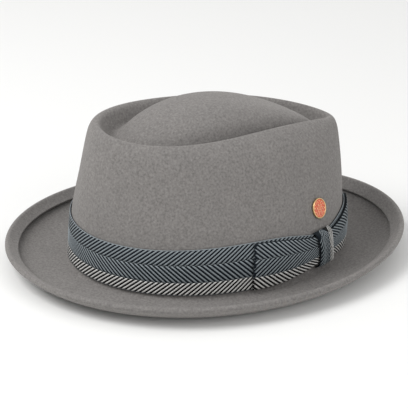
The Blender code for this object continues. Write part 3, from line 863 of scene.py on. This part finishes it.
def copper_line_tree():
    """Geometry nodes for the wires on the enamel: two rings of petals, and a ring of beads outside."""
    tree = bpy.data.node_groups.new("Copper wires", "GeometryNodeTree")
    for name, kind in (("Petals", "Int"), ("Reach", "Float"), ("Wire", "Float"), ("Metal", "Material")):
        tree.interface.new_socket(name, in_out="INPUT", socket_type="NodeSocket" + kind)
    tree.interface.new_socket("Geometry", in_out="OUTPUT", socket_type="NodeSocketGeometry")
    given = tree.nodes.new("NodeGroupInput").outputs

    def node(kind, *links, **settings):
        made = tree.nodes.new(kind)
        for key, value in settings.items():
            setattr(made, key, value)
        for name, value in links:
            if isinstance(value, bpy.types.NodeSocket):
                tree.links.new(value, made.inputs[name])
            else:
                made.inputs[name].default_value = value
        return made

    def times(socket, factor):
        made = node("ShaderNodeMath", (0, socket), (1, factor), operation="MULTIPLY")
        return made.outputs[0]

    wire = node("GeometryNodeCurvePrimitiveCircle", ("Resolution", 5), ("Radius", given["Wire"]))
    joined = tree.nodes.new("GeometryNodeJoinGeometry")
    for middle, long, wide, count in PETAL_RINGS:
        oval_curve = node("GeometryNodeCurvePrimitiveCircle", ("Resolution", 20),
                          ("Radius", given["Reach"]))
        squeezed = node("GeometryNodeTransform", ("Geometry", oval_curve.outputs[0]),
                        ("Scale", (long, wide, 1.0)))
        tube = node("GeometryNodeCurveToMesh", ("Curve", squeezed.outputs[0]),
                    ("Profile Curve", wire.outputs[0]))
        circle = node("GeometryNodeMeshCircle", ("Vertices", times(given["Petals"], count)),
                      ("Radius", times(given["Reach"], middle)))
        here = node("GeometryNodeInputPosition")
        turn = node("FunctionNodeAlignRotationToVector", ("Vector", here.outputs[0]), axis="X")
        placed = node("GeometryNodeInstanceOnPoints", ("Points", circle.outputs[0]),
                      ("Instance", tube.outputs[0]), ("Rotation", turn.outputs[0]))
        tree.links.new(placed.outputs[0], joined.inputs[0])
    whole = node("GeometryNodeRealizeInstances", ("Geometry", joined.outputs[0]))
    painted = node("GeometryNodeSetMaterial", ("Geometry", whole.outputs[0]),
                   ("Material", given["Metal"]))
    out = tree.nodes.new("NodeGroupOutput")
    tree.links.new(painted.outputs[0], out.inputs[0])
    return tree


def make_pin():
    back = TRIM_GAP
    front = back + PIN_THICKNESS
    recess = front - RECESS_DEPTH
    radius = PIN_DIAMETER / 2
    inner = radius - PIN_RIM
    tip = back - POST_LENGTH
    plate = [(0, recess), (inner, recess)]
    plate += rounded((inner, front), (inner, recess), (radius, front), 0.00035)
    plate += rounded((radius, front), (inner, front), (radius, back), 0.00040)
    plate += rounded((radius, back), (radius, front), (0, back), 0.00030)
    plate += [(POST_RADIUS * SOLDER_SPREAD, back), (POST_RADIUS, back - SOLDER_HEIGHT)]
    plate += [(POST_RADIUS, tip + POINT_LENGTH), (0, tip)]
    brass = metal_material("polished_brass", (0.80, 0.55, 0.27), 0.26)
    add_piece("pin_rim", turned_mesh("pin_rim", plate), brass, ("pin_plate",))

    low = recess + ENAMEL_GAP
    top = front - ENAMEL_DROP
    edge = inner - ENAMEL_GAP
    face = [(0, top + ENAMEL_DOME)]
    face += [(edge * part, top + ENAMEL_DOME * (1 - part ** 2)) for part in (0.25, 0.5, 0.75, 0.9)]
    face += rounded((edge, top), face[-1], (edge, low), 0.0001)
    face += [(edge, low), (0, low)]
    add_piece("pin_face", turned_mesh("pin_face", face), enamel_material(), ("pin_enamel",))

    copper = metal_material("copper_wire", (0.86, 0.50, 0.30), 0.3)
    tree = copper_line_tree()
    maker = bpy.data.objects.new("pin_wires", bpy.data.meshes.new("pin_wires"))
    bpy.context.scene.collection.objects.link(maker)
    modifier = maker.modifiers.new("Wires", "NODES")
    modifier.node_group = tree
    sizes = {"Petals": PETALS, "Reach": edge * WIRE_SHARE, "Wire": WIRE_RADIUS, "Metal": copper}
    for item in tree.interface.items_tree:
        if item.in_out == "INPUT":
            modifier[item.identifier] = sizes[item.name]
    graph = bpy.context.evaluated_depsgraph_get()
    wires = bpy.data.meshes.new_from_object(maker.evaluated_get(graph), depsgraph=graph)
    bpy.data.objects.remove(maker)
    points = mesh_points(wires)
    reach = np.hypot(points[:, 0], points[:, 1]) / edge
    points[:, 2] += top + ENAMEL_DOME * (1 - reach ** 2) + WIRE_LIFT
    bend_mesh(wires, points)
    wires.transform(PIN_STAND)
    add_piece("pin_wires", wires, copper)

    near = -FELT - CLUTCH_GAP
    far = near - CLUTCH_THICKNESS
    bore = POST_RADIUS + TRIM_GAP / 2
    clutch = [(bore, near)] + rounded((CLUTCH_RADIUS, near), (bore, near), (CLUTCH_RADIUS, far), 0.0004)
    clutch += rounded((CLUTCH_RADIUS, far), (CLUTCH_RADIUS, near), (bore, far), 0.0010)
    clutch += [(bore, far), (bore, near)]
    steel = metal_material("nickel_steel", (0.62, 0.60, 0.56), 0.32)
    add_piece("pin_catch", turned_mesh("pin_catch", clutch, 48), steel, ("pin_clutch",))


make_pin()


# Studio. A pale seamless floor, a large soft light above and to the left, a weaker one on the right, and
# the camera at the photograph's angle, 23 degrees above the floor and 70 degrees round from the front.

FLOOR_COLOUR = (0.83, 0.83, 0.82)
FLOOR_REACH = 6.0
FLOOR_DROP = 0.0004                      # below the hat, so that the two share no plane
CAMERA_TURN = math.radians(70)
CAMERA_RISE = math.radians(23.32)
CAMERA_DISTANCE = 1.4
LENS = 166.74
AIM = (-0.00190, 0.03696)                # sideways and up, from the origin
LIGHTS = (                               # name, right of the camera, towards it, up, size and power
    ("key", -0.9, 0.35, 1.2, 0.9, 16.0),
    ("fill", 1.0, 0.90, 0.6, 1.0, 5.0),
)
LIT_HEIGHT = 0.05                        # of the point that both lights face
SKY_STRENGTH = 0.75


def make_floor():
    corners = [(x * FLOOR_REACH, y * FLOOR_REACH, -FLOOR_DROP)
               for x, y in ((-1, -1), (1, -1), (1, 1), (-1, 1))]
    mesh = bpy.data.meshes.new("floor")
    mesh.from_pydata(corners, [], [(0, 1, 2, 3)])
    floor = bpy.data.objects.new("floor", mesh)
    bpy.context.scene.collection.objects.link(floor)
    mesh.materials.append(new_material("pale_floor", FLOOR_COLOUR, 0.6)[0])


def make_camera():
    sideways = Vector((math.cos(CAMERA_TURN), math.sin(CAMERA_TURN), 0))
    back = Vector((
        math.sin(CAMERA_TURN) * math.cos(CAMERA_RISE),
        -math.cos(CAMERA_TURN) * math.cos(CAMERA_RISE),
        math.sin(CAMERA_RISE),
    ))
    up = back.cross(sideways)
    camera = bpy.data.objects.new("camera", bpy.data.cameras.new("camera"))
    bpy.context.scene.collection.objects.link(camera)
    camera.data.sensor_width = 36
    camera.data.lens = LENS
    camera.data.clip_start = 0.01
    place = Matrix((sideways, up, back)).transposed().to_4x4()
    place.translation = sideways * AIM[0] + Vector((0, 0, AIM[1])) + back * CAMERA_DISTANCE
    camera.matrix_world = place
    bpy.context.scene.camera = camera
    return sideways, back


def make_light(name, place, size, power, target):
    light = bpy.data.lights.new(name, "AREA")
    light.shape = "SQUARE"
    light.size = size
    light.energy = power
    lamp = bpy.data.objects.new(name, light)
    bpy.context.scene.collection.objects.link(lamp)
    lamp.location = place
    lamp.rotation_euler = (target - place).to_track_quat("-Z", "Y").to_euler()


make_floor()
sideways, back = make_camera()
middle = Vector((0, 0, LIT_HEIGHT))
level = Vector((back.x, back.y, 0)).normalized()
for name, right, near, rise, size, power in LIGHTS:
    place = middle + sideways * right + level * near + Vector((0, 0, rise))
    make_light(name, place, size, power, middle)
world = bpy.data.worlds.new("studio")
world.use_nodes = True
world.node_tree.nodes["Background"].inputs["Color"].default_value = (1.0, 1.0, 1.0, 1.0)
world.node_tree.nodes["Background"].inputs["Strength"].default_value = SKY_STRENGTH
bpy.context.scene.world = world
bpy.context.scene.view_settings.view_transform = "Standard"
